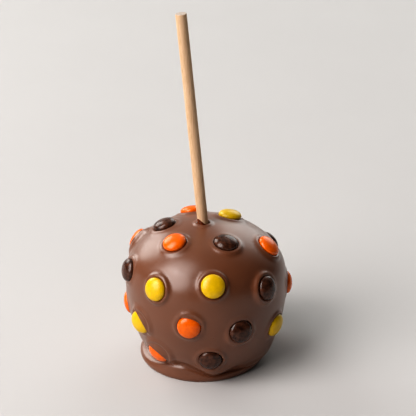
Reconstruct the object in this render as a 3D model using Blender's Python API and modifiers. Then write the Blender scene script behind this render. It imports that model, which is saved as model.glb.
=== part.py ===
"""A caramel apple: a whole apple in a thick chocolate coat, studded with sugar-shelled candies, on a stick.

Metres, +Z up. The origin is the centre of the flat foot, on the surface the apple stands on.
A bearing is an angle round the Z axis in degrees: 0 is the front (-Y), and it grows towards +X.
"""
import math
import random
from collections import namedtuple

import bmesh
import bpy
from mathutils import Matrix, Vector

MM = 0.001
GAP = 0.3 * MM                     # kept between pieces that touch
PROBE_TURN = 0.2                   # small steps, in degrees and in metres, that find the coat's normal
PROBE_RISE = 0.02 * MM
ON_AXIS = 0.1 * MM

# The coated apple, as a turned shape before it settles.
BELLY_RADIUS = 45.6 * MM
BELLY_HEIGHT = 45.0 * MM
CROWN_RISE = 37.0 * MM             # from the widest level to the top
CROWN_SHOULDER = 2.75              # exponents of the crown's outline: higher is squarer
CROWN_FLATNESS = 2.03
SKIRT_DROP = 63.0 * MM             # where the lower outline would close, below the widest level
SKIRT_SHOULDER = 1.95
CROWN_RINGS = 15
SKIRT_RINGS = 15
TURN_STEPS = 68

# The puddle of coating that set round the bottom.
FOOT_RADIUS = 35.9 * MM
FOOT_UNDERSIDE_RADIUS = 35.0 * MM
CREASE_RADIUS = 32.0 * MM
CREASE_HEIGHT = 5.0 * MM
CREASE_REACH = 3.6 * MM            # how far up the skirt the crease pulls in
RIM_TOP = 4.8 * MM
RIM_WIDEST = 1.6 * MM              # the level where the foot is widest
RIM_ROUNDNESS = 0.8
RIM_TUCK = 0.2 * MM                # how far the rim turns in before it meets the underside
RIM_TUCK_HEIGHT = 0.6 * MM
RIM_RINGS = 6

# How the crease runs round the foot: bearing, half width in degrees, and how far it stands out.
CREASE_SWELLS = (
    (-27.0, 24.0, 1.0 * MM),       # the thick bead at the front left
    (9.0, 12.0, 2.2 * MM),         # the sag in the middle of the front
    (85.0, 45.0, 3.4 * MM),        # the right side, nearly flush with the foot
)
CREASE_SWELL_REACH = 5.0 * MM
CREASE_RISES = (                   # the same for how far it stands higher
    (-25.0, 24.0, 3.9 * MM),
    (9.0, 11.0, -1.8 * MM),
)
CREASE_RISE_REACH = 7.0 * MM
RIM_STAYS_BELOW = 1.0 * MM         # the swells leave the foot's underside round
RIM_FOLLOWS_ABOVE = 3.0 * MM

# How the apple settled on its foot.
BELLY_SHIFT = Vector((2.6 * MM, 0.3 * MM, 0.0))
SHIFT_STARTS = 2.0 * MM
SHIFT_ENDS = 12.0 * MM
LOPSIDED = 0.016
LOPSIDED_ANGLE = math.radians(145.0)

# Slow waves in the coat, as it isn't evenly thick: lobes round the apple, twist up its height, start.
WAVES = ((3.0, 2.2, 0.0), (5.0, -4.1, 1.0))
WAVE_DEPTH = 0.22 * MM
WAVES_FADE_IN = (8.0 * MM, 20.0 * MM)
WAVES_FADE_OUT = (60.0 * MM, 78.0 * MM)

# The stick.
STICK_RADIUS = 3.0 * MM
STICK_SHOWS = 121.4 * MM
STICK_BURIED = 45.0 * MM
STICK_ENTRY = Vector((0.77 * MM, 0.51 * MM, 82.2 * MM))
STICK_LEAN_X = math.radians(-5.3)
STICK_LEAN_Y = math.radians(-1.5)
STICK_SIDES = 24
STICK_EDGE = 0.35 * MM
HOLE_CUT_ABOVE = 20.0 * MM         # the hole's cutter stands clear of the coat

# The candies: flat sweets with a sugar shell, set into the coat.
CANDY_RADIUS = 6.6 * MM
CANDY_HALF_THICKNESS = 3.1 * MM
CANDY_SIZE_SPREAD = 0.02
CANDY_SIDES = 14
CANDY_RINGS = 6
SWELL_RISE = 0.7 * MM              # the coat swells up round each candy
SWELL_REACH = 8.5 * MM

Candy = namedtuple("Candy", "colour bearing height lift tilt_up tilt_right", defaults=(0.0, 0.0))

# The bearing is in degrees. Height is that of the coat under the candy, and lift is how far the candy's
# middle stands out of the coat, both in mm. The tilts, in degrees, turn its face up and to the right as seen
# from outside, so that its upper or right edge is sunk in the coat.
FRONT_CANDIES = (
    Candy("orange", -163.0, 77.0, 1.0),
    Candy("yellow", 137.0, 79.2, 1.2, 5.0, 2.0),
    Candy("brown", -100.0, 78.3, 0.8),
    Candy("orange", -43.0, 77.8, 1.0),
    Candy("brown", 31.0, 78.8, 0.3, 6.0),
    Candy("orange", 77.5, 71.5, 0.8),
    Candy("brown", 122.0, 59.2, 0.2),
    Candy("orange", -110.0, 64.9, 0.3, 0.0, 8.0),
    Candy("brown", -74.3, 58.2, 0.5, 0.0, 6.0),
    Candy("yellow", -37.7, 58.4, 0.8),
    Candy("yellow", 5.0, 64.0, 1.0),
    Candy("brown", 47.7, 57.3, 0.6, 3.3, 6.0),
    Candy("orange", 92.0, 44.5, 0.2),
    Candy("orange", -92.0, 30.5, -0.1),
    Candy("yellow", -54.9, 32.7, 0.0, 8.0, 12.0),
    Candy("orange", -12.0, 40.6, 0.4, 9.0, 6.0),
    Candy("brown", 24.0, 36.5, 0.2, 18.0),
    Candy("yellow", 59.0, 30.0, 0.3),
    Candy("orange", -42.0, 16.0, -0.5, 12.0, 11.0),
    Candy("brown", 2.5, 17.9, 0.0, 8.0, 4.0),
)

# Round the back the candies sit in staggered rows: height in mm, first and last bearing, how many.
BACK_ROWS = (
    (57.0, 152.0, 220.0, 3),
    (40.0, 117.0, 238.0, 5),
    (17.0, 106.0, 246.0, 5),
)
BACK_COLOURS = ("brown", "yellow", "orange", "brown", "orange", "yellow")
BACK_JITTER = 2.5
BACK_LIFTS = (0.3, 0.9)
SEED = 11
SHARP_ON_COAT = math.radians(35.0)
SHARP_ON_STICK = math.radians(50.0)

COLOURS = {
    "chocolate": (0.115, 0.042, 0.024),
    "wood": (0.62, 0.41, 0.25),
    "orange": (0.90, 0.17, 0.005),
    "yellow": (0.86, 0.55, 0.012),
    "brown": (0.045, 0.018, 0.012),
}
ROUGHNESS = {"chocolate": 0.38, "wood": 0.62, "orange": 0.25, "yellow": 0.25, "brown": 0.25}


def clear_scene():
    for thing in list(bpy.data.objects):
        bpy.data.objects.remove(thing, do_unlink=True)


def new_collection(name):
    collection = bpy.data.collections.new(name)
    bpy.context.scene.collection.children.link(collection)
    return collection


def material(name):
    made = bpy.data.materials.get(name)
    if made is None:
        made = bpy.data.materials.new(name)
        made.use_nodes = True
        shader = made.node_tree.nodes["Principled BSDF"]
        shader.inputs["Base Color"].default_value = (*COLOURS[name], 1.0)
        shader.inputs["Roughness"].default_value = ROUGHNESS[name]
        shader.inputs["Metallic"].default_value = 0.0
        made.diffuse_color = (*COLOURS[name], 1.0)
    return made


def smooth_step(value, low, high):
    t = min(max((value - low) / (high - low), 0.0), 1.0)
    return t * t * (3.0 - 2.0 * t)


def bell(distance, width):
    return math.exp(-(distance / width) ** 2)


def turn_between(bearing, other):
    """The signed angle in degrees from one bearing to another, the short way round."""
    return (bearing - other + 180.0) % 360.0 - 180.0


# ---- the form of the coat ----

def coat_radius(height):
    """The turned outline of the apple itself, without the crease and the foot."""
    if height > BELLY_HEIGHT:
        rise = (height - BELLY_HEIGHT) / CROWN_RISE
        return BELLY_RADIUS * max(1.0 - rise ** CROWN_SHOULDER, 0.0) ** (1.0 / CROWN_FLATNESS)
    drop = (BELLY_HEIGHT - height) / SKIRT_DROP
    return BELLY_RADIUS * math.sqrt(1.0 - drop ** SKIRT_SHOULDER)


def settle(point):
    """Moves a point of the turned shape to where it lies on the settled, slightly lopsided apple."""
    loose = smooth_step(point.z, SHIFT_STARTS, SHIFT_ENDS)
    along = Vector((math.cos(LOPSIDED_ANGLE), 0.0, math.sin(LOPSIDED_ANGLE)))
    across = Vector((-along.z, 0.0, along.x))
    middle = Vector((0.0, 0.0, BELLY_HEIGHT))
    arm = point - middle
    stretch = LOPSIDED * (arm.dot(along) * along - arm.dot(across) * across)
    return point + loose * (BELLY_SHIFT + stretch)


def coat_point(bearing, height):
    turn = math.radians(bearing)
    radius = coat_radius(height)
    return settle(Vector((radius * math.sin(turn), -radius * math.cos(turn), height)))


def coat_normal(bearing, height):
    sideways = coat_point(bearing + PROBE_TURN, height) - coat_point(bearing - PROBE_TURN, height)
    upwards = coat_point(bearing, height + PROBE_RISE) - coat_point(bearing, height - PROBE_RISE)
    return sideways.cross(upwards).normalized()


def coat_profile():
    """The outline from the top, down the outer side and in along the flat underside."""
    crown = []
    for ring in range(CROWN_RINGS):
        angle = math.radians(90.0 * (1.0 - ring / CROWN_RINGS))
        height = BELLY_HEIGHT + CROWN_RISE * math.sin(angle) ** (2.0 / CROWN_SHOULDER)
        crown.append((coat_radius(height), height))
    skirt = []
    for ring in range(SKIRT_RINGS + 1):
        height = BELLY_HEIGHT + (CREASE_HEIGHT - BELLY_HEIGHT) * math.sin(math.pi / 2.0 * ring / SKIRT_RINGS)
        pull = (coat_radius(CREASE_HEIGHT) - CREASE_RADIUS) * bell(height - CREASE_HEIGHT, CREASE_REACH)
        skirt.append((coat_radius(height) - pull, height))
    rim = []
    for ring in range(1, RIM_RINGS + 1):
        angle = math.radians(90.0 * ring / RIM_RINGS)
        radius = CREASE_RADIUS + (FOOT_RADIUS - CREASE_RADIUS) * math.sin(angle)
        rim.append((radius, RIM_WIDEST + (RIM_TOP - RIM_WIDEST) * max(math.cos(angle), 0.0) ** RIM_ROUNDNESS))
    underside = [(FOOT_RADIUS - RIM_TUCK, RIM_TUCK_HEIGHT), (FOOT_UNDERSIDE_RADIUS, 0.0), (0.0, 0.0)]
    crown[0] = (0.0, BELLY_HEIGHT + CROWN_RISE)
    return crown + skirt + rim + underside


def crease_swell(bearing, radius, height):
    """How far a point near the crease stands out, as the crease isn't a true circle."""
    swell = sum(out * bell(turn_between(bearing, middle), width) for middle, width, out in CREASE_SWELLS)
    if height >= CREASE_HEIGHT:
        return swell * bell(height - CREASE_HEIGHT, CREASE_SWELL_REACH)
    share = min(max((FOOT_RADIUS - radius) / (FOOT_RADIUS - CREASE_RADIUS), 0.0), 1.0)
    return swell * share * smooth_step(height, RIM_STAYS_BELOW, RIM_FOLLOWS_ABOVE)


def crease_rise(bearing, height):
    """How far a point near the crease stands higher, as the coat didn't run down evenly."""
    rise = sum(up * bell(turn_between(bearing, middle), width) for middle, width, up in CREASE_RISES)
    if height >= CREASE_HEIGHT:
        return rise * bell(height - CREASE_HEIGHT, CREASE_RISE_REACH)
    return rise * max((height - RIM_WIDEST) / (CREASE_HEIGHT - RIM_WIDEST), 0.0)


def waves(bearing, height):
    """How far the coat stands out where it is thicker."""
    turn = math.radians(bearing)
    up = height / BELLY_HEIGHT
    total = sum(math.sin(lobes * turn + twist * up + start) for lobes, twist, start in WAVES)
    fade = smooth_step(height, *WAVES_FADE_IN) * (1.0 - smooth_step(height, *WAVES_FADE_OUT))
    return WAVE_DEPTH * total * fade


# ---- the candies ----

def all_candies():
    """The candies of the front and top, then the rows round the back."""
    candies = list(FRONT_CANDIES)
    chance = random.Random(SEED)
    for height, first, last, count in BACK_ROWS:
        for number in range(count):
            bearing = first + (last - first) * number / (count - 1)
            bearing += chance.uniform(-BACK_JITTER, BACK_JITTER)
            level = height + chance.uniform(-BACK_JITTER, BACK_JITTER)
            colour = BACK_COLOURS[(len(candies) - len(FRONT_CANDIES)) % len(BACK_COLOURS)]
            candies.append(Candy(colour, bearing, level, chance.uniform(*BACK_LIFTS)))
    return candies


def candy_placement(candy):
    """The matrix that stands a flat-lying sweet on the coat, its thin way along the coat's normal."""
    height = candy.height * MM
    normal = coat_normal(candy.bearing, height)
    side = Vector((0.0, 0.0, 1.0)).cross(normal).normalized()
    up = normal.cross(side)
    tilt = Matrix.Rotation(math.radians(candy.tilt_right), 4, up)
    tilt = tilt @ Matrix.Rotation(math.radians(-candy.tilt_up), 4, side)
    axes = Matrix((side, up, normal)).transposed().to_4x4()
    middle = coat_point(candy.bearing, height) + candy.lift * MM * normal
    return Matrix.Translation(middle) @ tilt @ axes


def turned_mesh(name, profile, steps):
    """A closed mesh from a profile in the XZ plane, turned round Z by a Screw modifier."""
    outline = bpy.data.meshes.new(name)
    outline.from_pydata([(x, 0.0, z) for x, z in profile], [(i, i + 1) for i in range(len(profile) - 1)], [])
    turning = bpy.data.objects.new(name, outline)
    bpy.context.scene.collection.objects.link(turning)
    screw = turning.modifiers.new("turn", "SCREW")
    screw.steps = steps
    screw.render_steps = steps
    screw.use_merge_vertices = True
    screw.merge_threshold = 0.01 * MM
    bpy.context.view_layer.update()
    made = bpy.data.meshes.new_from_object(turning.evaluated_get(bpy.context.evaluated_depsgraph_get()))
    bpy.data.objects.remove(turning, do_unlink=True)
    bpy.data.meshes.remove(outline)
    made.name = name
    return made


def sweet_mesh(name, radius, half_thickness):
    profile = [(0.0, half_thickness)]
    for ring in range(1, CANDY_RINGS):
        angle = math.pi * ring / CANDY_RINGS
        profile.append((radius * math.sin(angle), half_thickness * math.cos(angle)))
    profile.append((0.0, -half_thickness))
    made = turned_mesh(name, profile, CANDY_SIDES)
    made.shade_smooth()
    return made


def make_candies(parts, cutters):
    """Each sweet, and the pocket that it sits in."""
    chance = random.Random(SEED + 1)
    counts = {}
    for candy in all_candies():
        counts[candy.colour] = counts.get(candy.colour, 0) + 1
        name = f"candy_{candy.colour}_{counts[candy.colour]:02d}"
        radius = CANDY_RADIUS * (1.0 + chance.uniform(-CANDY_SIZE_SPREAD, CANDY_SIZE_SPREAD))
        half = CANDY_HALF_THICKNESS * (1.0 + chance.uniform(-CANDY_SIZE_SPREAD, CANDY_SIZE_SPREAD))
        sweet = bpy.data.objects.new(name, sweet_mesh(name, radius, half))
        sweet.matrix_world = candy_placement(candy)
        sweet.data.materials.append(material(candy.colour))
        parts.objects.link(sweet)
        pocket_name = f"pocket_{name}"
        pocket = bpy.data.objects.new(pocket_name, sweet_mesh(pocket_name, radius + GAP, half + GAP))
        pocket.matrix_world = sweet.matrix_world.copy()
        add_cutter(pocket, cutters)


# ---- the stick ----

def stick_direction():
    return Vector((math.tan(STICK_LEAN_X), math.tan(STICK_LEAN_Y), 1.0)).normalized()


def rod(name, radius, below, above):
    """A round rod on the stick's axis, from below to above the point where the stick enters."""
    direction = stick_direction()
    bpy.ops.mesh.primitive_cylinder_add(vertices=STICK_SIDES, radius=radius, depth=below + above)
    made = bpy.context.active_object
    made.name = name
    made.data.name = name
    made.location = STICK_ENTRY + direction * (above - below) / 2.0
    made.rotation_mode = "QUATERNION"
    made.rotation_quaternion = direction.to_track_quat("Z", "Y")
    return made


def move_to(thing, collection):
    for holder in list(thing.users_collection):
        holder.objects.unlink(thing)
    collection.objects.link(thing)


def add_cutter(thing, cutters):
    move_to(thing, cutters)
    thing.hide_render = True
    thing.display_type = "WIRE"


def make_stick(parts, cutters):
    stick = rod("stick", STICK_RADIUS, STICK_BURIED, STICK_SHOWS)
    stick.data.materials.append(material("wood"))
    edge = stick.modifiers.new("worn edge", "BEVEL")
    edge.width = STICK_EDGE
    edge.segments = 2
    edge.limit_method = "ANGLE"
    stick.data.shade_smooth()
    stick.data.set_sharp_from_angle(angle=SHARP_ON_STICK)
    move_to(stick, parts)
    hole = rod("hole_stick", STICK_RADIUS + GAP, STICK_BURIED + GAP, HOLE_CUT_ABOVE)
    add_cutter(hole, cutters)


# ---- the coated apple ----

def make_apple(parts, cutters):
    """The apple and its coat as one body, with a pocket for each candy and a hole for the stick."""
    candies = [coat_point(candy.bearing, candy.height * MM) for candy in all_candies()]
    mesh = turned_mesh("coated_apple", coat_profile(), TURN_STEPS)
    shaped = bmesh.new()
    shaped.from_mesh(mesh)
    for vertex in shaped.verts:
        point = vertex.co
        radius = math.hypot(point.x, point.y)
        if radius < ON_AXIS:
            vertex.co = settle(point)
            continue
        bearing = math.degrees(math.atan2(point.x, -point.y))
        out = Vector((point.x, point.y, 0.0)) / radius
        swell = crease_swell(bearing, radius, point.z) + waves(bearing, point.z)
        rise = Vector((0.0, 0.0, crease_rise(bearing, point.z)))
        vertex.co = settle(point + swell * out + rise)
    shaped.normal_update()
    for vertex in shaped.verts:
        rise = min(sum(bell((vertex.co - middle).length, SWELL_REACH) for middle in candies), 1.0)
        vertex.co += SWELL_RISE * rise * smooth_step(vertex.co.z, RIM_TOP, SHIFT_ENDS) * vertex.normal
    shaped.to_mesh(mesh)
    shaped.free()
    apple = bpy.data.objects.new("coated_apple", mesh)
    apple.data.materials.append(material("chocolate"))
    parts.objects.link(apple)
    cut = apple.modifiers.new("pockets and hole", "BOOLEAN")
    cut.operation = "DIFFERENCE"
    cut.solver = "EXACT"
    cut.operand_type = "COLLECTION"
    cut.collection = cutters
    mesh.shade_smooth()
    mesh.set_sharp_from_angle(angle=SHARP_ON_COAT)


def main():
    clear_scene()
    parts = new_collection("caramel_apple")
    cutters = new_collection("cutters")
    make_candies(parts, cutters)
    make_stick(parts, cutters)
    make_apple(parts, cutters)


main()
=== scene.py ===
"""The looks of a chocolate-dipped apple on a stick, studded with sugar-shelled candies.

Everything is built round the part's solids. Shapes are worked out in millimetres, and turned into metres
where a mesh is made. A bearing is an angle round Z in degrees: 0 is the front (-Y), and it grows towards +X.
The coat is one mesh. Its points are laid out on a flat map of the turned apple, in rings round each candy and
round the stick and evenly in between, joined into triangles there, and then lifted to their places.
"""

import math
import random
from collections import namedtuple

import bpy
import numpy as np
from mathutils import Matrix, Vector
from mathutils.geometry import delaunay_2d_cdt


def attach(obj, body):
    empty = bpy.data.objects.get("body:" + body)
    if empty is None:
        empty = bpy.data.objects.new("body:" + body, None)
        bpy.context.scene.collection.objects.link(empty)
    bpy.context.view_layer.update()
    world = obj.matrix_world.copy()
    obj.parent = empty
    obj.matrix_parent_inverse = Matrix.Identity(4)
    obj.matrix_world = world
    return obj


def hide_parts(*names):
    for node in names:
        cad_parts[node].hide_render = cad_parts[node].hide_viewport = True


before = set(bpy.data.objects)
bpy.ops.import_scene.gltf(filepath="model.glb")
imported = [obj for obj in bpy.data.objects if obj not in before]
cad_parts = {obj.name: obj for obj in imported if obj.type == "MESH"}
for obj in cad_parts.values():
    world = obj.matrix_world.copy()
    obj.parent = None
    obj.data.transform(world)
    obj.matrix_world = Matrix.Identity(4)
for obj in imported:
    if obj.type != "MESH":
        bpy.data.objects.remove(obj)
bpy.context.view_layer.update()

MM = 0.001

# ---- the form of the coated apple, as in the part's source, in mm ----
BELLY_RADIUS = 45.6
BELLY_HEIGHT = 45.0
CROWN_RISE = 37.0
CROWN_SHOULDER = 2.75
CROWN_FLATNESS = 2.03
SKIRT_DROP = 63.0
SKIRT_SHOULDER = 1.95
FOOT_RADIUS = 35.9
FOOT_UNDERSIDE_RADIUS = 35.0
CREASE_RADIUS = 32.0
CREASE_HEIGHT = 5.0
CREASE_REACH = 3.6
RIM_TOP = 4.8
RIM_WIDEST = 1.6
RIM_ROUNDNESS = 0.8
CREASE_SWELLS = ((-27.0, 24.0, 1.0), (9.0, 12.0, 2.2), (85.0, 45.0, 3.4))
CREASE_SWELL_REACH = 5.0
CREASE_RISES = ((-25.0, 24.0, 3.9), (9.0, 11.0, -1.8))
CREASE_RISE_REACH = 7.0
RIM_STAYS_BELOW = 1.0
RIM_FOLLOWS_ABOVE = 3.0
BELLY_SHIFT = np.array((2.6, 0.3, 0.0))
SHIFT_STARTS = 2.0
SHIFT_ENDS = 12.0
LOPSIDED = 0.016
LOPSIDED_ANGLE = math.radians(145.0)
WAVES = ((3.0, 2.2, 0.0), (5.0, -4.1, 1.0))
WAVE_DEPTH = 0.22
WAVES_FADE_IN = (8.0, 20.0)
WAVES_FADE_OUT = (60.0, 78.0)

# Where the coat sagged or ran down: bearing, height, half width in degrees, half height, how far out.
SAGS = (
    (6.0, 7.6, 13.0, 3.0, 1.7),        # the lobe that hangs over the foot
    (-20.0, 8.8, 21.0, 2.7, 2.3),      # the crease on its left, partly filled
    (48.0, 5.6, 20.0, 2.8, 3.3),       # on the right the coat ran down flush with the foot
    (84.0, 5.6, 22.0, 2.8, 2.5),
)
CREASE_ROUNDING = 1.1              # how far along the outline its corners are evened out

# ---- the coat's mesh, in mm ----
OUTLINE_STEPS = 1500               # samples in each stretch of the outline
ROUNDING_STEPS = 188               # samples on each side that the rounding takes in
FIRST_RING = 1.0                   # from the outline's start to the first ring of even points
ROW_SHARE = math.sqrt(0.75)        # how far apart rows of even triangles are, as a share of their sides
FEWEST_IN_RING = 6
FINE_BELOW = 9.0                   # the foot and its crease have closer points
COARSE_ABOVE = 14.0
COARSE_STEP = 1.15
FINE_STEP = 0.55
PROBE = 0.2                        # step on the flat map, as a share of its scale, that finds slopes
FIND_PROBE = 0.01                  # the same where a point is looked for
FIND_PASSES = 8
RING_OFFSETS = (0.0, 0.03, 0.08, 0.15, 0.24, 0.35, 0.5, 0.68, 0.9, 1.15, 1.45, 1.8, 2.2, 2.65, 3.15, 3.7, 4.3,
                4.95, 5.65, 6.4, 7.2)
RING_REACH = 3.3                   # how far from the coat's edge the rings go, where it doesn't lap
HIDDEN_SHARES = (0.9, 0.6, 0.3)    # rings under a candy, as shares of the edge's size
WALL_STEP = 0.03                   # how far the wall of a pocket leans in
CANDY_RING_POINTS = 84
STICK_RING_POINTS = 48
CLEARANCE = 0.45                   # between the outermost ring and the even points
SAME_SIDE = 9.0                    # how far in or out of a seat's plane the coat round it may be
NODE_DIGITS = 4                    # decimals to which a node's points are told apart
MERGE_WITHIN = 1e-6                # on the flat map
LAST_RING = 1.0 - 1e-6             # share of the flat map's reach beyond which its last ring is
HIDDEN = -1.0                      # stands for how far outside the edge a hidden point is
NO_SEAT = -1
RIGHTWARD = np.array((1.0, 0.0))
BACKWARD = np.array((0.0, 1.0))
ALL_ROUND = np.radians(np.arange(-180.0, 180.0))      # a direction for each degree

# ---- how the coat meets the candies, in mm ----
EDGE_ROUND = 0.35                  # how round the coat's edge is
CREST_OUT = 0.95                   # from the candy's edge to the collar's highest line
CREST_OUT_AT_LAP = 1.6
RING_SQUARENESS = 2.4
INNER_FALL = 0.5                   # share of its height that a collar loses from its crest to the candy
INNER_REACH = 1.4                  # and over what distance
COLLAR_FOLLOWS = 0.5               # share of the way the collar climbs up to a candy that stands proud
FOLLOWS_TO = 1.2                   # but not for more than this
EDGE_LEVEL_LIMIT = 0.8             # how far from a candy's widest line the edge goes, as a share of its half
COLLAR_ENDS = 2.5                  # how far out a collar is worked out, in spreads
LIFT_TURNS = (0.5, 2.5)            # where, outside a candy, the lift turns from its axis to the coat's own
LAP_THICKNESS = 0.4
LAP_BLEND = 2.0
LAP_SLOPE = 0.7                    # the steepest that a lap falls outside the candy
LAP_SINKS = 4.0                    # how far a lap's form lies lower where there is no lap
LAP_COLLAR = 0.6                   # the collar beside a lap, as a share of the lap's own height
LAP_ENDS = 16                      # degrees over which a lap runs out at its ends
LAP_ARC = 12.0                     # radius of the line where a lap ends
CORNER_BLEND = 0.8
UNDER_CANDY = 0.4
HIGHER_BY = 0.55                   # the share that a collar gains on its higher side, and loses on the other

# Collar height, how far it spreads, the dark gap at the candy's edge, the laps over the candy, and the side
# on which the collar is higher. A lap is its direction and its depth. Directions are in degrees, seen from
# outside with 0 to the right and 90 up.
Rim = namedtuple("Rim", "collar spread gap laps higher_at", defaults=(0.08, (), 90.0))
RIMS = {
    "candy_orange_01": Rim(0.3, 1.8),
    "candy_yellow_01": Rim(0.3, 1.8),
    "candy_brown_01": Rim(0.3, 1.8, 0.3, higher_at=-100.0),
    "candy_orange_02": Rim(0.12, 1.6, higher_at=-80.0),
    "candy_brown_02": Rim(0.4, 1.7, 0.25, higher_at=-85.0),
    "candy_orange_03": Rim(0.45, 1.6, higher_at=-120.0),
    "candy_brown_03": Rim(0.4, 1.8, 0.12, higher_at=0.0),
    "candy_orange_04": Rim(0.3, 1.6, 0.06, ((12.0, 1.6),)),
    "candy_brown_04": Rim(0.35, 1.3, 0.1),
    "candy_yellow_02": Rim(0.75, 1.4, higher_at=10.0),
    "candy_yellow_03": Rim(0.4, 1.2, 0.12, higher_at=50.0),
    "candy_brown_05": Rim(0.8, 1.5, 0.25, higher_at=165.0),
    "candy_orange_05": Rim(0.4, 1.6, 0.08),
    "candy_orange_06": Rim(0.3, 1.6),
    "candy_yellow_04": Rim(0.6, 1.6, 0.06, ((41.0, 2.6),)),
    "candy_orange_07": Rim(0.55, 1.5, 0.1, ((70.0, 0.8),), higher_at=75.0),
    "candy_brown_06": Rim(0.55, 1.5, 0.3, higher_at=-70.0),
    "candy_yellow_05": Rim(0.6, 1.4, 0.12),
    "candy_orange_08": Rim(0.4, 1.8, 0.15, ((57.0, 4.7),)),
    "candy_brown_07": Rim(0.7, 1.5, 0.15, higher_at=25.0),
}
# The rims of the candies round the back are drawn from these.
BACK_SEED = 5
BACK_COLLARS = (0.3, 0.8)
BACK_SPREADS = (1.4, 1.9)
BACK_LAP_CHANCE = 0.5
BACK_LAP_TURNS = (30.0, 150.0)
BACK_LAP_DEPTHS = (0.5, 3.5)

# ---- how the coat meets the stick, in mm ----
HOLE_GAP = 0.06
HOLE_WIDENS = 0.8                  # on the right, where the stick was pushed over
HOLE_WIDENS_OVER = 50.0
LIP_RISE = 0.8
LIP_SPREAD = 1.6
LIP_CREST = 0.9
LIP_ROUND = 0.3
HOLE_DEPTH = 8.0

# Slow unevenness of the coat: how many ripples, their lengths, how high, the seed.
RIPPLES = ((9, (20.0, 38.0), 0.07, 3), (9, (6.0, 10.0), 0.010, 4))
RIPPLES_FADE_IN = (1.0, 6.0)


def smooth_step(value, low, high):
    t = np.clip((value - low) / (high - low), 0.0, 1.0)
    return t * t * (3.0 - 2.0 * t)


def bell(distance, width):
    return np.exp(-(distance / width) ** 2)


def turn_between(bearing, other):
    """The signed angle in degrees from one bearing to another, the short way round."""
    return (bearing - other + 180.0) % 360.0 - 180.0


def smooth_min(a, b, blend):
    overlap = np.maximum(blend - np.abs(a - b), 0.0) / blend
    return np.minimum(a, b) - overlap * overlap * blend / 4.0


def smooth_max(a, b, blend):
    return -smooth_min(-a, -b, blend)


def unit(vectors):
    return vectors / np.linalg.norm(vectors, axis=-1, keepdims=True)


def running_total(steps):
    return np.concatenate(((0.0,), np.cumsum(steps)))


# ---- the coat before the candies and the stick push it about ----

def coat_radius(height):
    rise = np.clip((height - BELLY_HEIGHT) / CROWN_RISE, 0.0, 1.0)
    crown = BELLY_RADIUS * np.maximum(1.0 - rise ** CROWN_SHOULDER, 0.0) ** (1.0 / CROWN_FLATNESS)
    drop = np.clip((BELLY_HEIGHT - height) / SKIRT_DROP, 0.0, 1.0)
    skirt = BELLY_RADIUS * np.sqrt(1.0 - drop ** SKIRT_SHOULDER)
    return np.where(height > BELLY_HEIGHT, crown, skirt)


def coat_outline():
    """Radius and height of the turned outline, from just off the top down to the edge of the underside."""
    quarter = np.radians(np.linspace(0.0, 90.0, OUTLINE_STEPS))
    crown = BELLY_HEIGHT + CROWN_RISE * np.cos(quarter[2:]) ** (2.0 / CROWN_SHOULDER)
    skirt = BELLY_HEIGHT + (CREASE_HEIGHT - BELLY_HEIGHT) * np.sin(quarter)
    pull = (coat_radius(CREASE_HEIGHT) - CREASE_RADIUS) * bell(skirt - CREASE_HEIGHT, CREASE_REACH)
    rim_radius = CREASE_RADIUS + (FOOT_RADIUS - CREASE_RADIUS) * np.sin(quarter)
    rim = RIM_WIDEST + (RIM_TOP - RIM_WIDEST) * np.maximum(np.cos(quarter), 0.0) ** RIM_ROUNDNESS
    tuck_radius = FOOT_UNDERSIDE_RADIUS + (FOOT_RADIUS - FOOT_UNDERSIDE_RADIUS) * np.cos(quarter)
    tuck = RIM_WIDEST * (1.0 - np.sin(quarter))
    side_radius = (coat_radius(skirt) - pull)[1:]
    radius = np.concatenate((coat_radius(crown), side_radius, rim_radius, tuck_radius[1:]))
    height = np.concatenate((crown, skirt[1:], rim, tuck[1:]))
    along = running_total(np.hypot(np.diff(radius), np.diff(height)))
    even = np.linspace(0.0, along[-1], len(along))
    weights = bell(np.arange(-ROUNDING_STEPS, ROUNDING_STEPS) * even[1], CREASE_ROUNDING)
    weights /= weights.sum()
    return tuple(rounded(np.interp(even, along, values), weights) for values in (radius, height))


def rounded(values, weights):
    """A line of values evened out, and run on by one value before its start."""
    reach = len(weights) // 2
    before = 2.0 * values[0] - values[reach:0:-1]
    after = 2.0 * values[-1] - values[-2:-reach - 2:-1]
    return np.convolve(np.concatenate((before, values, after)), weights, "valid")


def flat_map(radius, height):
    """How far along the outline each sample is, and the log of its circle's radius on the flat map.

    The map keeps angles, so that triangles which are good there are good on the apple.
    """
    step = np.hypot(np.diff(radius), np.diff(height))
    middle = (radius[1:] + radius[:-1]) / 2.0
    return running_total(step), math.log(radius[0]) + running_total(step / middle)


OUTLINE_RADIUS, OUTLINE_HEIGHT = coat_outline()
OUTLINE_ALONG, OUTLINE_LOG = flat_map(OUTLINE_RADIUS, OUTLINE_HEIGHT)


def crease_swell(bearing, radius, height):
    """How far a point near the crease stands out, as the crease isn't a true circle."""
    swell = sum(out * bell(turn_between(bearing, middle), width) for middle, width, out in CREASE_SWELLS)
    share = np.clip((FOOT_RADIUS - radius) / (FOOT_RADIUS - CREASE_RADIUS), 0.0, 1.0)
    below = share * smooth_step(height, RIM_STAYS_BELOW, RIM_FOLLOWS_ABOVE)
    return swell * np.where(height >= CREASE_HEIGHT, bell(height - CREASE_HEIGHT, CREASE_SWELL_REACH), below)


def crease_rise(bearing, height):
    """How far a point near the crease stands higher, as the coat didn't run down evenly."""
    rise = sum(up * bell(turn_between(bearing, middle), width) for middle, width, up in CREASE_RISES)
    below = np.maximum((height - RIM_WIDEST) / (CREASE_HEIGHT - RIM_WIDEST), 0.0)
    return rise * np.where(height >= CREASE_HEIGHT, bell(height - CREASE_HEIGHT, CREASE_RISE_REACH), below)


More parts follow.
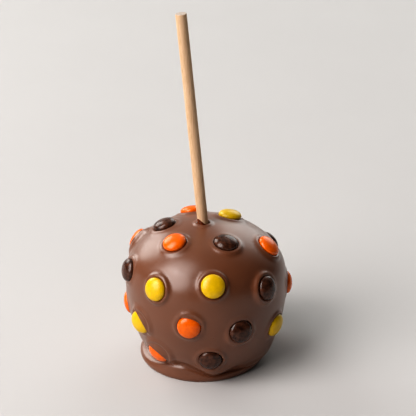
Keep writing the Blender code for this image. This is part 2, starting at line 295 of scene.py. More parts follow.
def waves(bearing, height):
    turn = np.radians(bearing)
    total = sum(np.sin(lobes * turn + twist * height / BELLY_HEIGHT + start) for lobes, twist, start in WAVES)
    fade = smooth_step(height, *WAVES_FADE_IN) * (1.0 - smooth_step(height, *WAVES_FADE_OUT))
    return WAVE_DEPTH * total * fade


def sags(bearing, height):
    """How far the coat stands out where it ran, folded or dimpled."""
    return sum(out * bell(turn_between(bearing, middle), width) * bell(height - level, reach)
               for middle, level, width, reach, out in SAGS)


def settle(points):
    """Moves points of the turned shape to where they lie on the settled, slightly lopsided apple."""
    loose = smooth_step(points[:, 2:3], SHIFT_STARTS, SHIFT_ENDS)
    along = np.array((math.cos(LOPSIDED_ANGLE), 0.0, math.sin(LOPSIDED_ANGLE)))
    across = np.array((-along[2], 0.0, along[0]))
    arm = points - np.array((0.0, 0.0, BELLY_HEIGHT))
    stretch = LOPSIDED * ((arm @ along)[:, None] * along - (arm @ across)[:, None] * across)
    return points + loose * (BELLY_SHIFT + stretch)


def lay(flat):
    """Where points of the flat map lie on the coat."""
    reach = np.log(np.hypot(flat[:, 0], flat[:, 1]))
    radius = np.interp(reach, OUTLINE_LOG, OUTLINE_RADIUS)
    height = np.interp(reach, OUTLINE_LOG, OUTLINE_HEIGHT)
    turn = np.arctan2(flat[:, 0], -flat[:, 1])
    bearing = np.degrees(turn)
    out = radius + crease_swell(bearing, radius, height) + waves(bearing, height)
    level = height + crease_rise(bearing, height)
    out = out + sags(bearing, level)
    return settle(np.stack((out * np.sin(turn), -out * np.cos(turn), level), axis=1))


def map_scale(flat):
    """How many units of the flat map a millimetre of the coat takes."""
    reach = np.hypot(flat[:, 0], flat[:, 1])
    return reach / np.interp(np.log(reach), OUTLINE_LOG, OUTLINE_RADIUS)


def coat_normals(flat):
    step = PROBE * map_scale(flat)[:, None]
    right = RIGHTWARD * step
    back = BACKWARD * step
    return unit(np.cross(lay(flat + right) - lay(flat - right), lay(flat + back) - lay(flat - back)))


def even_rings():
    """Rings of evenly spaced points on the flat map, staggered."""
    rings = []
    along = OUTLINE_ALONG[0] + FIRST_RING
    while along < OUTLINE_ALONG[-1]:
        height = np.interp(along, OUTLINE_ALONG, OUTLINE_HEIGHT)
        step = FINE_STEP + (COARSE_STEP - FINE_STEP) * float(smooth_step(height, FINE_BELOW, COARSE_ABOVE))
        rings.append((along, step))
        along += step * ROW_SHARE
    rings.append((OUTLINE_ALONG[-1], FINE_STEP))
    points = []
    for number, (along, step) in enumerate(rings):
        radius = np.interp(along, OUTLINE_ALONG, OUTLINE_RADIUS)
        reach = math.exp(np.interp(along, OUTLINE_ALONG, OUTLINE_LOG))
        count = max(int(math.tau * radius / step), FEWEST_IN_RING)
        turns = (np.arange(count) + 0.5 * (number % 2)) * math.tau / count
        points.append(reach * np.stack((np.sin(turns), -np.cos(turns)), axis=1))
    return np.concatenate(points)


# ---- the candies and the stick, measured from their solids ----

class Seat:
    """Something that sits in the coat: its middle, a side, an up and an outward direction, and its size."""

    def __init__(self, name, middle, side, axis, radius, half):
        self.name = name
        self.middle = middle
        self.side = unit(side)
        self.axis = unit(axis)
        self.up = np.cross(self.axis, self.side)
        self.radius = radius
        self.half = half

    def local(self, points):
        """Points as seen from the seat: to the side, up, and outwards."""
        return (points - self.middle) @ np.stack((self.side, self.up, self.axis), axis=1)

    def place(self, x, y, z):
        return self.middle + x[:, None] * self.side + y[:, None] * self.up + z[:, None] * self.axis


def node_points(node):
    points = np.array([vertex.co for vertex in node.data.vertices]) / MM
    return np.unique(points.round(NODE_DIGITS), axis=0)


def measured(points, middle, axis):
    """How far out along an axis points are, and how far from it the furthest is."""
    out = (points - middle) @ axis
    return out, np.linalg.norm(points - middle - out[:, None] * axis, axis=1).max()


def candy_seat(node):
    points = node_points(node)
    middle = points.mean(axis=0)
    axis = np.linalg.svd(points - middle)[2][2]
    axis = axis * np.sign(axis @ (middle - np.array((0.0, 0.0, BELLY_HEIGHT)) - BELLY_SHIFT))
    out, radius = measured(points, middle, axis)
    return Seat(node.name, middle, np.cross((0.0, 0.0, 1.0), axis), axis, radius, out.max())


def stick_seat(node):
    """The stick's seat: its middle is where the stick leaves the coat, and its half is all that shows."""
    points = node_points(node)
    middle = points.mean(axis=0)
    axis = np.linalg.svd(points - middle)[2][0]
    axis = axis * np.sign(axis[2])
    out, radius = measured(points, middle, axis)
    seat = Seat(node.name, middle, np.cross((0.0, 1.0, 0.0), axis), axis, radius, 0.0)
    entry = lay(find_on_coat(seat, np.zeros(1), np.zeros(1)))
    rise = seat.local(entry)[0, 2]
    seat.middle = middle + rise * axis
    seat.half = out.max() - rise
    seat.buried = rise - out.min()
    return seat


def find_on_coat(seat, x, y):
    """The points of the flat map that lie at x, y as seen along the seat's axis."""
    nearest = np.linalg.norm(lay(EVEN_POINTS) - seat.middle, axis=1).argmin()
    flat = np.tile(EVEN_POINTS[nearest], (len(x), 1))
    target = np.stack((x, y), axis=1)
    for _ in range(FIND_PASSES):
        step = FIND_PROBE * map_scale(flat)[:, None]
        here = seat.local(lay(flat))[:, :2]
        right = (seat.local(lay(flat + RIGHTWARD * step))[:, :2] - here) / step
        back = (seat.local(lay(flat + BACKWARD * step))[:, :2] - here) / step
        miss = target - here
        area = right[:, 0] * back[:, 1] - right[:, 1] * back[:, 0]
        flat = flat + np.stack((miss[:, 0] * back[:, 1] - miss[:, 1] * back[:, 0],
                                right[:, 0] * miss[:, 1] - right[:, 1] * miss[:, 0]), axis=1) / area[:, None]
    return flat


EVEN_POINTS = even_rings()


# ---- how the coat meets what sits in it ----

def back_rims(names):
    """Seeded rims for the candies round the back."""
    chance = random.Random(BACK_SEED)
    rims = {}
    for name in names:
        laps = ()
        if chance.random() < BACK_LAP_CHANCE:
            laps = ((chance.uniform(*BACK_LAP_TURNS), chance.uniform(*BACK_LAP_DEPTHS)),)
        collar, spread_out = chance.uniform(*BACK_COLLARS), chance.uniform(*BACK_SPREADS)
        rims[name] = Rim(collar, spread_out, laps=laps, higher_at=chance.uniform(-180.0, 180.0))
    return rims


def even_along(points, count):
    """A closed line of points, taken again at even steps."""
    closed = np.concatenate((points, points[:1]))
    along = running_total(np.linalg.norm(np.diff(closed, axis=0), axis=1))
    wanted = np.linspace(0.0, along[-1], count, endpoint=False)
    return np.stack((np.interp(wanted, along, closed[:, 0]), np.interp(wanted, along, closed[:, 1])), axis=1)


def soften(values, reach):
    """Evens out values round a circle, one for each degree, over a reach in degrees."""
    weights = bell(np.arange(-reach, reach + 1), reach / 2.0)
    around = np.concatenate((values[-reach:], values, values[:reach]))
    return np.convolve(around, weights / weights.sum(), "valid")


def lap_edge(turns, middle, direction):
    """How far from the candy's middle the edge of a lap is, as an arc that crosses the candy."""
    turn = turns - math.radians(direction)
    inward = middle - LAP_ARC
    return inward * np.cos(turn) + np.sqrt(LAP_ARC ** 2 - (inward * np.sin(turn)) ** 2)


def fit_candy(seat, rim):
    """Works out the collar round a candy and the line where the coat ends against its shell."""
    around = (seat.radius + CREST_OUT) * np.stack((np.cos(ALL_ROUND), np.sin(ALL_ROUND)))
    level = seat.local(lay(find_on_coat(seat, *around)))[:, 2]
    collar = rim.collar * (1.0 + HIGHER_BY * np.cos(ALL_ROUND - math.radians(rim.higher_at)))
    collar += COLLAR_FOLLOWS * np.clip(-(level + rim.collar), 0.0, FOLLOWS_TO)
    lapped = np.full(len(ALL_ROUND), np.inf)
    for direction, depth in rim.laps:
        lapped = np.minimum(lapped, lap_edge(ALL_ROUND, seat.radius - depth, direction))
    covered = lapped < seat.radius
    beside = np.array([np.roll(covered, shift) for shift in range(-LAP_ENDS, LAP_ENDS + 1)]).any(axis=0)
    seat.laps = soften(beside.astype(float), LAP_ENDS)
    dome = seat.half * np.sqrt(np.maximum(1.0 - (np.minimum(lapped, seat.radius) / seat.radius) ** 2, 0.0))
    beside_lap = LAP_COLLAR * (soften(dome, LAP_ENDS) + LAP_THICKNESS - level)
    seat.rise = collar + seat.laps * np.maximum(beside_lap - collar, 0.0)
    seat.crest = seat.radius + CREST_OUT + (CREST_OUT_AT_LAP - CREST_OUT) * seat.laps
    lowest = level + (1.0 - INNER_FALL) * seat.rise - EDGE_ROUND
    edge = seat.radius * np.sqrt(1.0 - np.clip(np.abs(lowest) / seat.half, 0.0, EDGE_LEVEL_LIMIT) ** 2)
    edge += rim.gap
    edge = smooth_min(edge, lapped, CORNER_BLEND)
    seat.edge_round = EDGE_ROUND
    seat.spread = rim.spread
    seat.floor = -(seat.half + UNDER_CANDY)
    set_line(seat, edge, CANDY_RING_POINTS)


def fit_stick(seat):
    """Works out the lip round the stick."""
    seat.laps = np.zeros(len(ALL_ROUND))
    seat.rise = np.full(len(ALL_ROUND), LIP_RISE)
    seat.crest = np.full(len(ALL_ROUND), seat.radius + LIP_CREST)
    seat.edge_round = LIP_ROUND
    seat.spread = LIP_SPREAD
    seat.floor = -HOLE_DEPTH
    widened = HOLE_WIDENS * bell(np.degrees(ALL_ROUND), HOLE_WIDENS_OVER)
    set_line(seat, seat.radius + HOLE_GAP + widened, STICK_RING_POINTS)


def set_line(seat, edge, count):
    """Keeps the line where the coat ends, and how far the rings outside each of its points go."""
    line = edge[:, None] * np.stack((np.cos(ALL_ROUND), np.sin(ALL_ROUND)), axis=1)
    seat.line = even_along(line, count)
    seat.reaches = RING_REACH + np.maximum(seat.radius - np.hypot(*seat.line.T), 0.0)


def line_normals(line):
    along = np.roll(line, -1, axis=0) - np.roll(line, 1, axis=0)
    return unit(np.stack((along[:, 1], -along[:, 0]), axis=1))


def outside_line(seat, x, y):
    """How far points are outside the line where the coat ends, and the rings' reach there."""
    gaps = np.stack((x, y), axis=1)[:, None, :] - seat.line[None, :, :]
    distance = np.sqrt((gaps ** 2).sum(axis=2))
    nearest = distance.argmin(axis=1)
    shortest = distance.min(axis=1)
    picked = gaps[np.arange(len(x)), nearest]
    outward = (picked * line_normals(seat.line)[nearest]).sum(axis=1)
    return np.where(outward > 0.0, shortest, -shortest), seat.reaches[nearest]


def seat_rings(seat):
    """Points round a seat: x, y, and how far outside the coat's edge they are, or HIDDEN under it."""
    outward = line_normals(seat.line)
    middle = seat.line.mean(axis=0)
    rings = []
    for offset in RING_OFFSETS:
        reached = offset <= seat.reaches
        rings.append(((seat.line + offset * outward)[reached], offset))
    rings.append((seat.line - WALL_STEP * outward, HIDDEN))
    rings += [(middle + share * (seat.line - middle), HIDDEN) for share in HIDDEN_SHARES]
    rings.append((middle[None, :], HIDDEN))
    points = np.concatenate([ring for ring, _ in rings])
    outside = np.concatenate([np.full(len(ring), offset) for ring, offset in rings])
    return points[:, 0], points[:, 1], outside


def near(seat, points, reach):
    """Which points are round the seat, within a reach of its edge."""
    local = seat.local(points)
    across = np.hypot(local[:, 0], local[:, 1])
    return (across < seat.radius + reach) & (np.abs(local[:, 2]) < SAME_SIDE)


def coat_points(seats):
    """All the coat's points: on the flat map, whose rings they are in, if any, and how far outside."""
    places = lay(EVEN_POINTS)
    keep = np.ones(len(EVEN_POINTS), dtype=bool)
    for seat in seats:
        close = np.flatnonzero(near(seat, places, RING_REACH + CLEARANCE))
        local = seat.local(places[close])
        outside, reach = outside_line(seat, local[:, 0], local[:, 1])
        keep[close[outside < reach + CLEARANCE]] = False
    flats = [EVEN_POINTS[keep]]
    owners = [np.full(keep.sum(), NO_SEAT)]
    outsides = [np.full(keep.sum(), np.inf)]
    for number, seat in enumerate(seats):
        x, y, outside = seat_rings(seat)
        flat = find_on_coat(seat, x, y)
        spots = lay(flat)
        mine = np.ones(len(x), dtype=bool)
        for other in seats:
            close = np.flatnonzero(near(other, spots, RING_REACH)) if other is not seat else ()
            if len(close):
                local = other.local(spots[close])
                mine[close[outside_line(other, local[:, 0], local[:, 1])[0] < outside[close]]] = False
        flats.append(flat[mine])
        owners.append(np.full(mine.sum(), number))
        outsides.append(outside[mine])
    return np.concatenate(flats), np.concatenate(owners), np.concatenate(outsides)


def ripple(points):
    """Slow unevenness, as a sum of seeded waves that cross the apple in all directions."""
    total = np.zeros(len(points))
    for count, (shortest, longest), height, seed in RIPPLES:
        chance = np.random.default_rng(seed)
        directions = unit(chance.normal(size=(count, 3)))
        lengths = chance.uniform(shortest, longest, count)
        starts = chance.uniform(0.0, math.tau, count)
        phases = points @ (directions.T * (math.tau / lengths)) + starts
        total += height * np.sin(phases).sum(axis=1) / math.sqrt(count)
    return total


def ring_share(out, spread):
    """A collar's height as a share of its crest's, by how far out from the crest a point is."""
    outer = np.exp(-(np.maximum(out, 0.0) / spread) ** RING_SQUARENESS)
    return outer * (1.0 - INNER_FALL * smooth_step(-out, 0.0, INNER_REACH))


def lap_over(seat, across, laps, height):
    """The height of the coat where it laps over a candy's edge."""
    reach = seat.radius + LAP_THICKNESS
    top = seat.half + LAP_THICKNESS
    steepness = LAP_SLOPE * reach / top
    inside = np.minimum(across, reach * steepness / math.hypot(1.0, steepness))
    dome = top * np.sqrt(1.0 - (inside / reach) ** 2) - LAP_SLOPE * (across - inside)
    return smooth_max(dome - LAP_SINKS * (1.0 - laps), height, LAP_BLEND)


def shape_coat(flat, owners, outside, seats):
    """Lifts points of the flat map to their places on the finished coat."""
    base = lay(flat)
    normals = coat_normals(flat)
    cubed = np.zeros(len(base))
    closest = np.full(len(base), NO_SEAT)
    closeness = np.full(len(base), np.inf)
    for number, seat in enumerate(seats):
        mask = np.flatnonzero(near(seat, base, COLLAR_ENDS * seat.spread + CREST_OUT_AT_LAP))
        local = seat.local(base[mask])
        across = np.hypot(local[:, 0], local[:, 1])
        rise, crest, _ = seat_around(seat, local)
        cubed[mask] += (rise * ring_share(across - crest, seat.spread)) ** 3
        nearer = across - seat.radius < closeness[mask]
        closest[mask[nearer]] = number
        closeness[mask[nearer]] = (across - seat.radius)[nearer]
    lift = np.cbrt(cubed)
    uneven = ripple(base) * smooth_step(base[:, 2], *RIPPLES_FADE_IN)
    points = base + (lift + uneven)[:, None] * normals
    for number, seat in enumerate(seats):
        mask = np.flatnonzero((closest == number) | (owners == number))
        local = seat.local(base[mask])
        across = np.hypot(local[:, 0], local[:, 1])
        height = local[:, 2] + lift[mask]
        if seat.laps.any():
            height = lap_over(seat, across, seat_around(seat, local)[2], height)
        inset = np.clip(1.0 - outside[mask] / seat.edge_round, 0.0, 1.0)
        height -= np.where(owners[mask] == number, seat.edge_round * (1.0 - np.sqrt(1.0 - inset ** 2)), 0.0)
        blend = smooth_step(across - seat.radius, *LIFT_TURNS)[:, None]
        direction = unit((1.0 - blend) * seat.axis + blend * normals[mask])
        points[mask] = base[mask] + (height - local[:, 2] + uneven[mask])[:, None] * direction
        hidden = np.flatnonzero((owners == number) & (outside < 0.0))
        local = seat.local(base[hidden])
        points[hidden] = seat.place(local[:, 0], local[:, 1], np.full(len(hidden), seat.floor))
    return points


def seat_around(seat, local):
    """The collar's height, its crest and the share of a lap in the direction of each point."""
    turn = np.arctan2(local[:, 1], local[:, 0])
    return [np.interp(turn, ALL_ROUND, values, period=math.tau)
            for values in (seat.rise, seat.crest, seat.laps)]


def new_mesh(name, points, faces, materials):
    mesh = bpy.data.meshes.new(name)
    mesh.from_pydata((points * MM).tolist(), [], faces)
    mesh.validate()
    mesh.shade_smooth()
    for made in materials:
        mesh.materials.append(made)
    piece = bpy.data.objects.new(name, mesh)
    bpy.context.scene.collection.objects.link(piece)
    return piece


def make_coat(seats, finish):
    flat, owners, outside = coat_points(seats)
    spots = [Vector(point) for point in flat]
    _, _, triangles, sources, _, _ = delaunay_2d_cdt(spots, [], [], 0, MERGE_WITHIN)
    order = np.array([source[0] for source in sources])
    points = shape_coat(flat[order], owners[order], outside[order], seats)
    reach = np.hypot(flat[order, 0], flat[order, 1])
    edge = np.flatnonzero(reach > reach.max() * LAST_RING)
    edge = edge[np.argsort(np.arctan2(flat[order[edge], 0], -flat[order[edge], 1]))]
    points = np.concatenate((points, np.zeros((1, 3))))
    centre = len(points) - 1
    underside = [(int(a), int(b), centre) for a, b in zip(np.roll(edge, -1), edge)]
    return new_mesh("chocolate_coat", points, triangles + underside, [finish])


# ---- candies ----
CANDY_SIDES = 72
CANDY_RINGS = 30
CANDY_WAVES = 6                    # how many waves make a shell uneven
CANDY_WAVE_TURNS = 3.0             # how close they are
CANDY_WAVE_DEPTH = 0.004           # how deep, as a share of the candy's size


def make_candy(seat, finish):
    """A flat round sweet with a sugar shell, not quite even."""
    chance = np.random.default_rng(name_seed(seat.name))
    directions = unit(chance.normal(size=(CANDY_WAVES, 3)))
    starts = chance.uniform(0.0, math.tau, CANDY_WAVES)
    angles = np.linspace(0.0, math.pi, CANDY_RINGS + 1)[1:-1]
    turns = np.linspace(0.0, math.tau, CANDY_SIDES, endpoint=False)
    rings = np.stack((np.outer(np.sin(angles), np.cos(turns)), np.outer(np.sin(angles), np.sin(turns)),
                      np.outer(np.cos(angles), np.ones(CANDY_SIDES))), axis=2).reshape(-1, 3)
    ball = np.concatenate((((0.0, 0.0, 1.0),), rings, ((0.0, 0.0, -1.0),)))
    uneven = np.sin(CANDY_WAVE_TURNS * ball @ directions.T + starts).sum(axis=1) / CANDY_WAVES
    size = 1.0 - CANDY_WAVE_DEPTH + CANDY_WAVE_DEPTH * uneven
    local = ball * np.array((seat.radius, seat.radius, seat.half)) * size[:, None]
    points = seat.place(local[:, 0], local[:, 1], local[:, 2])
    faces = []
    last = 1 + (CANDY_RINGS - 2) * CANDY_SIDES
    for side in range(CANDY_SIDES):
        after = (side + 1) % CANDY_SIDES
        faces.append((0, 1 + side, 1 + after))
        for top in range(1, last, CANDY_SIDES):
            bottom = top + CANDY_SIDES
            faces.append((top + side, bottom + side, bottom + after, top + after))
        faces.append((last + after, last + side, len(points) - 1))
    return new_mesh(seat.name.replace("candy", "sweet"), points, faces, [finish])


def name_seed(name):
    return sum((place + 1) * ord(letter) for place, letter in enumerate(name))


# ---- stick ----
STICK_SIDES = 64
STICK_EDGE = 0.35
STICK_EDGE_STEPS = 6
STICK_RINGS = 90
STICK_END_RINGS = (0.05, 0.3, 0.6)     # on its top end, as shares of its radius
STICK_SHARP = 60.0                     # degrees at which an edge is sharp


def band(upper, lower, sides):
    """The faces between two rings, from the numbers of their first points."""
    return [(upper + side, lower + side, lower + (side + 1) % sides, upper + (side + 1) % sides)
            for side in range(sides)]


def tube(seat, profile, sides):
    """Points and faces of a turned shape on a seat's axis, from (radius, height) pairs, top first."""
    turns = np.linspace(0.0, math.tau, sides, endpoint=False)
    radius, height = np.array(profile).T
    x = np.outer(radius, np.cos(turns)).ravel()
    y = np.outer(radius, np.sin(turns)).ravel()
    points = seat.place(x, y, np.repeat(height, sides))
    faces = []
    for ring in range(len(profile) - 1):
        faces += band(ring * sides, (ring + 1) * sides, sides)
    faces.append(tuple(range(sides)))
    faces.append(tuple((len(profile) - 1) * sides + side for side in reversed(range(sides))))
    return points, faces


def make_stick(seat, finish):
    profile = [(seat.radius * share, seat.half) for share in STICK_END_RINGS]
    for step in range(STICK_EDGE_STEPS + 1):
        angle = math.radians(90.0 / STICK_EDGE_STEPS * step)
        profile.append((seat.radius - STICK_EDGE * (1.0 - math.sin(angle)),
                        seat.half - STICK_EDGE * (1.0 - math.cos(angle))))
    for height in np.linspace(seat.half - STICK_EDGE, STICK_EDGE - seat.buried, STICK_RINGS)[1:]:
        profile.append((seat.radius, float(height)))
    profile.append((seat.radius - STICK_EDGE, -seat.buried))
    points, faces = tube(seat, profile, STICK_SIDES)
    piece = new_mesh("wooden_stick", points, faces, [finish])
    piece.data.set_sharp_from_angle(angle=math.radians(STICK_SHARP))
    return piece


# ---- the glaze that climbed the stick, in mm ----
GLAZE_RISE = 3.8
GLAZE_RISES_AT = -140.0            # direction in degrees, seen from above with 0 to the right
GLAZE_OVER = 70.0
GLAZE_LOW = -1.0
GLAZE_DEPTH = 2.5
GLAZE_SIDES = 72
# From the top edge down: how far down its height, and how far out from the stick.
GLAZE_PROFILE = ((0.0, 0.01), (0.0, 0.05), (0.08, 0.13), (0.25, 0.17), (0.45, 0.22), (0.65, 0.34),
                 (1.0, 0.42), (1.0, 0.01))


def make_glaze(seat, finish):
    """A film of dark glaze that stands against the stick, higher on one side."""
    turns = np.linspace(0.0, math.tau, GLAZE_SIDES, endpoint=False)
    higher = bell(turn_between(np.degrees(turns), GLAZE_RISES_AT), GLAZE_OVER)
    top = GLAZE_LOW + (GLAZE_RISE - GLAZE_LOW) * higher
    rings = []
    for share, out in GLAZE_PROFILE:
        radius = seat.radius + out
        height = top - share * (top + GLAZE_DEPTH)
        rings.append(seat.place(radius * np.cos(turns), radius * np.sin(turns), height))
    faces = []
    for ring in range(len(rings)):
        faces += band(ring * GLAZE_SIDES, (ring + 1) % len(rings) * GLAZE_SIDES, GLAZE_SIDES)
    return new_mesh("glaze_on_stick", np.concatenate(rings), faces, [finish])


# ---- materials ----
WHITE = (1.0, 1.0, 1.0)
CHOCOLATE_DARK = (0.149, 0.056, 0.026)
CHOCOLATE_LIGHT = (0.193, 0.073, 0.035)
PINHOLE_TINT = (1.0, 0.75, 0.7)
PINHOLE_FLOOR = 0.3                # share of a pinhole's radius that is its flat middle
GLAZE_DARK = (0.085, 0.018, 0.006)
GLAZE_LIGHT = (0.20, 0.050, 0.012)
WOOD_SIDE = ((0.3, (0.56, 0.37, 0.22)), (0.55, (0.71, 0.50, 0.33)), (0.75, (0.76, 0.56, 0.40)))
WOOD_BANDS = ((0.35, (0.93, 0.90, 0.86)), (0.65, WHITE))
WOOD_END = ((0.35, (0.30, 0.23, 0.18)), (0.5, (0.50, 0.42, 0.36)), (0.65, (0.57, 0.49, 0.43)))
WOOD_STRETCH = (1.0, 1.0, 0.035)   # the grain runs along the stick
WOOD_END_FACING = (0.6, 0.9)       # how far up a face looks where the end grain takes over
BOARD_DARK = (0.535, 0.520, 0.512)
BOARD_LIGHT = (0.545, 0.530, 0.522)
# A shell's darker and lighter colour, its roughness, and how strong its fine orange-peel relief is.
SHELLS = {
    "orange": ((0.76, 0.132, 0.0), (0.84, 0.162, 0.0), 0.22, 0.12),
    "yellow": ((0.67, 0.42, 0.0), (0.75, 0.48, 0.0), 0.30, 0.12),
    "brown": ((0.030, 0.010, 0.005), (0.110, 0.042, 0.023), 0.20, 0.7),
}
NOISE_RANGE = (0.3, 0.7)           # most of what a noise gives
MIX_FIRST, MIX_SECOND, MIX_RESULT = 6, 7, 2      # the colour sockets of a mix

def node(tree, kind, **settings):
    made = tree.nodes.new(kind)
    for name, value in settings.items():
        setattr(made, name, value)
    return made


def new_finish(name, **sockets):
    made = bpy.data.materials.new(name)
    made.use_nodes = True
    shader = made.node_tree.nodes["Principled BSDF"]
    for socket, value in sockets.items():
        shader.inputs[socket.replace("_", " ")].default_value = value
    return made, made.node_tree, shader


def feed(tree, shader, **sockets):
    """Links values into a shader's sockets."""
    for socket, value in sockets.items():
        tree.links.new(value, shader.inputs[socket.replace("_", " ")])


def object_place(tree, scale=(1.0, 1.0, 1.0)):
    place = node(tree, "ShaderNodeTexCoord")
    mapping = node(tree, "ShaderNodeMapping")
    mapping.inputs["Scale"].default_value = scale
    tree.links.new(place.outputs["Object"], mapping.inputs["Vector"])
    return mapping.outputs["Vector"]


def noise(tree, place, scale, detail=3.0, roughness=0.5):
    made = node(tree, "ShaderNodeTexNoise")
    made.inputs["Scale"].default_value = scale
    made.inputs["Detail"].default_value = detail
    made.inputs["Roughness"].default_value = roughness
    tree.links.new(place, made.inputs["Vector"])
    return made.outputs["Fac"]


def ramp(tree, value, stops):
    made = node(tree, "ShaderNodeValToRGB")
    elements = made.color_ramp.elements
    while len(elements) < len(stops):
        elements.new(0.5)
    for element, (position, colour) in zip(elements, stops):
        element.position = position
        element.color = (*colour, 1.0)
    tree.links.new(value, made.inputs["Fac"])
    return made.outputs["Color"]


def map_range(tree, value, source, target=(0.0, 1.0), **settings):
    """Maps a value from one range onto another."""
    made = node(tree, "ShaderNodeMapRange", **settings)
    for socket, number in zip(("From Min", "From Max", "To Min", "To Max"), (*source, *target)):
        made.inputs[socket].default_value = number
    tree.links.new(value, made.inputs["Value"])
    return made.outputs["Result"]


def spread(tree, value, low, high):
    """Maps a noise, which keeps to the middle of its range, onto about low to high."""
    return map_range(tree, value, NOISE_RANGE, (low, high), clamp=False)


def bump(tree, value, strength, distance, below=None):
    made = node(tree, "ShaderNodeBump")
    made.inputs["Strength"].default_value = strength
    made.inputs["Distance"].default_value = distance
    tree.links.new(value, made.inputs["Height"])
    if below is not None:
        tree.links.new(below, made.inputs["Normal"])
    return made.outputs["Normal"]


def pinholes(tree, place, scale, radius):
    """A value that is 1 on the coat and 0 in small round holes spread over it."""
    cells = node(tree, "ShaderNodeTexVoronoi")
    cells.inputs["Scale"].default_value = scale
    tree.links.new(place, cells.inputs["Vector"])
    slope = (PINHOLE_FLOOR * radius * scale, radius * scale)
    return map_range(tree, cells.outputs["Distance"], slope, interpolation_type="SMOOTHSTEP")


def multiply(tree, colour, tint):
    mix = node(tree, "ShaderNodeMix", data_type="RGBA", blend_type="MULTIPLY")
    mix.inputs["Factor"].default_value = 1.0
    tree.links.new(colour, mix.inputs[MIX_FIRST])
    tree.links.new(tint, mix.inputs[MIX_SECOND])
    return mix.outputs[MIX_RESULT]


def chocolate_finish():
    made, tree, shader = new_finish("satin_chocolate", Specular_IOR_Level=0.5, IOR=1.58, Coat_Weight=0.3,
                                    Coat_Roughness=0.34)
    place = object_place(tree)
    patches = noise(tree, place, scale=38.0, detail=4.0)
    colour = ramp(tree, patches, ((0.1, CHOCOLATE_DARK), (0.9, CHOCOLATE_LIGHT)))
    holes = pinholes(tree, place, scale=85.0, radius=0.00045)
    specks = ramp(tree, holes, ((0.0, PINHOLE_TINT), (1.0, WHITE)))
    skin = bump(tree, noise(tree, place, scale=320.0, detail=2.0), strength=0.06, distance=0.0004)
    feed(tree, shader, Base_Color=multiply(tree, colour, specks),
         Roughness=spread(tree, noise(tree, place, scale=90.0), low=0.29, high=0.34),
         Normal=bump(tree, holes, strength=0.6, distance=0.0003, below=skin))
    return made


def glaze_finish():
    made, tree, shader = new_finish("dark_glaze", Specular_IOR_Level=0.5, IOR=1.5)
    place = object_place(tree)
    streaks = noise(tree, place, scale=700.0)
    relief = noise(tree, place, scale=900.0, detail=2.0)
    feed(tree, shader, Base_Color=ramp(tree, streaks, ((0.35, GLAZE_DARK), (0.65, GLAZE_LIGHT))),
         Roughness=spread(tree, streaks, low=0.12, high=0.22),
         Normal=bump(tree, relief, strength=0.2, distance=0.0002))
    return made


def shell_finish(name):
    dark, light, roughness, peeling = SHELLS[name]
    made, tree, shader = new_finish(f"sugar_shell_{name}", Specular_IOR_Level=0.5, IOR=1.5,
                                    Roughness=roughness)
    place = object_place(tree)
    mottle = noise(tree, place, scale=420.0, detail=5.0, roughness=0.6)
    peel = noise(tree, place, scale=900.0, detail=2.0)
    feed(tree, shader, Base_Color=ramp(tree, mottle, ((0.35, dark), (0.65, light))),
         Normal=bump(tree, peel, strength=peeling, distance=0.0001))
    return made


def wood_finish():
    made, tree, shader = new_finish("birch_wood", Specular_IOR_Level=0.3)
    along = object_place(tree, WOOD_STRETCH)
    fibres = noise(tree, along, scale=2600.0, detail=4.0, roughness=0.65)
    bands = noise(tree, along, scale=520.0)
    pores = noise(tree, object_place(tree), scale=3200.0, roughness=0.6)
    side = multiply(tree, ramp(tree, fibres, WOOD_SIDE), ramp(tree, bands, WOOD_BANDS))
    facing = node(tree, "ShaderNodeSeparateXYZ")
    tree.links.new(node(tree, "ShaderNodeNewGeometry").outputs["Normal"], facing.inputs["Vector"])
    cut = map_range(tree, facing.outputs["Z"], WOOD_END_FACING, interpolation_type="SMOOTHSTEP")
    mix = node(tree, "ShaderNodeMix", data_type="RGBA")
    tree.links.new(cut, mix.inputs["Factor"])
    tree.links.new(side, mix.inputs[MIX_FIRST])
    tree.links.new(ramp(tree, pores, WOOD_END), mix.inputs[MIX_SECOND])
    feed(tree, shader, Base_Color=mix.outputs[MIX_RESULT],
         Roughness=spread(tree, fibres, low=0.55, high=0.7),
         Normal=bump(tree, fibres, strength=0.35, distance=0.0001))
    return made


def floor_finish():
    made, tree, shader = new_finish("pale_board", Roughness=0.7, Specular_IOR_Level=0.2)
    clouds = noise(tree, object_place(tree), scale=6.0)
    feed(tree, shader, Base_Color=ramp(tree, clouds, ((0.3, BOARD_DARK), (0.7, BOARD_LIGHT))))
    return made


# ---- the studio ----
FLOOR_HALF_WIDTH = 2.5
FLOOR_FRONT = -5.0
COVE_STARTS = 1.4
COVE_RADIUS = 0.6
COVE_STEPS = 12
WALL_TOP = 2.2
ROOM_COLOUR = (0.97, 1.0, 0.98)
ROOM_DARK = 0.04                   # the room on the side it is dark
ROOM_LIGHT = 0.70                  # and on the side of the pale wall
ROOM_LIGHT_SIDE = (0.08, 0.92, 0.38)
ROOM_LIGHT_FROM = 0.45
ROOM_LIGHT_TO = 1.0
KEY_COLOUR = (1.0, 0.965, 0.95)
# Round soft lights: name, place, size, power and colour.
LIGHTS = (
    ("key", (-1.72, -1.12, 1.36), 2.2, 52.0, KEY_COLOUR),
    ("glint", (-1.13, -0.50, 2.29), 1.5, 20.0, KEY_COLOUR),
    ("back_left", (-1.3, 1.3, 1.1), 1.4, 16.0, ROOM_COLOUR),
    ("back_right", (0.8, 1.6, 0.85), 1.4, 8.0, ROOM_COLOUR),
)
AIMED_AT = (0.0, 0.0, 0.045)
CAMERA_PLACE = (0.0, -0.6446, 0.3834)
CAMERA_TILT = 65.62
CAMERA_TURN = -0.32
CAMERA_LENS = 110.14
CAMERA_SENSOR = 36.0
CAMERA_CLIP = 0.01


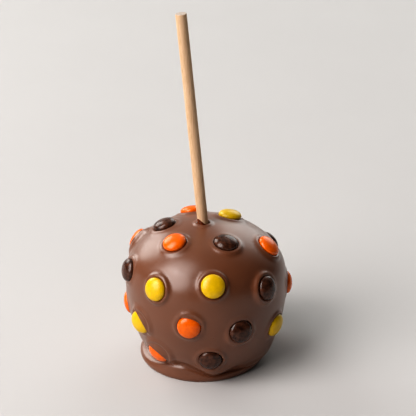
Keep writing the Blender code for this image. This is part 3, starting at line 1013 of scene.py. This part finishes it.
def make_floor():
    """A plain board that curves up into a backdrop."""
    profile = [(FLOOR_FRONT, 0.0), (COVE_STARTS, 0.0)]
    for step in range(1, COVE_STEPS + 1):
        angle = math.radians(90.0 / COVE_STEPS * step)
        profile.append((COVE_STARTS + COVE_RADIUS * math.sin(angle), COVE_RADIUS * (1.0 - math.cos(angle))))
    profile.append((COVE_STARTS + COVE_RADIUS, WALL_TOP))
    points = [(x, y, z) for y, z in profile for x in (-FLOOR_HALF_WIDTH, FLOOR_HALF_WIDTH)]
    faces = [(2 * i, 2 * i + 1, 2 * i + 3, 2 * i + 2) for i in range(len(profile) - 1)]
    floor = new_mesh("floor", np.array(points) / MM, faces, [floor_finish()])


def add_light(name, place, size, power, colour):
    """A round soft light at a place, which shines on the apple."""
    light = bpy.data.lights.new(name, "AREA")
    light.shape = "DISK"
    light.size = size
    light.energy = power
    light.color = colour
    lamp = bpy.data.objects.new(name, light)
    lamp.location = place
    lamp.rotation_mode = "QUATERNION"
    lamp.rotation_quaternion = (Vector(place) - Vector(AIMED_AT)).to_track_quat("Z", "Y")
    bpy.context.scene.collection.objects.link(lamp)


def make_light():
    world = bpy.data.worlds.new("studio")
    world.use_nodes = True
    tree = world.node_tree
    background = tree.nodes["Background"]
    background.inputs["Color"].default_value = (*ROOM_COLOUR, 1.0)
    towards = node(tree, "ShaderNodeVectorMath", operation="DOT_PRODUCT")
    towards.inputs[1].default_value = ROOM_LIGHT_SIDE
    tree.links.new(node(tree, "ShaderNodeTexCoord").outputs["Generated"], towards.inputs[0])
    strength = map_range(tree, towards.outputs["Value"], (ROOM_LIGHT_FROM, ROOM_LIGHT_TO),
                         (ROOM_DARK, ROOM_LIGHT))
    tree.links.new(strength, background.inputs["Strength"])
    bpy.context.scene.world = world
    for light in LIGHTS:
        add_light(*light)


def make_camera():
    lens = bpy.data.cameras.new("camera")
    lens.lens = CAMERA_LENS
    lens.sensor_width = CAMERA_SENSOR
    lens.clip_start = CAMERA_CLIP
    camera = bpy.data.objects.new("camera", lens)
    camera.location = CAMERA_PLACE
    camera.rotation_euler = (math.radians(CAMERA_TILT), 0.0, math.radians(CAMERA_TURN))
    bpy.context.scene.collection.objects.link(camera)
    bpy.context.scene.camera = camera


def main():
    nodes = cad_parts
    candies = [candy_seat(nodes[name]) for name in sorted(nodes) if name.startswith("candy_")]
    behind = back_rims([seat.name for seat in candies if seat.name not in RIMS])
    for seat in candies:
        fit_candy(seat, RIMS.get(seat.name) or behind[seat.name])
    stick = stick_seat(nodes["stick"])
    fit_stick(stick)
    coat = make_coat(candies + [stick], chocolate_finish())
    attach(coat, "root")
    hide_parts("coated_apple")
    shells = {name: shell_finish(name) for name in SHELLS}
    for seat in candies:
        colour = seat.name.split("_")[1]
        sweet = make_candy(seat, shells[colour])
        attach(sweet, "root")
        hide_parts(seat.name)
    wood = make_stick(stick, wood_finish())
    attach(wood, "root")
    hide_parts("stick")
    glaze = make_glaze(stick, glaze_finish())
    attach(glaze, "root")
    make_floor()
    make_light()
    make_camera()
    bpy.context.scene.view_settings.view_transform = "Standard"
    bpy.context.scene.view_settings.look = "High Contrast"


main()
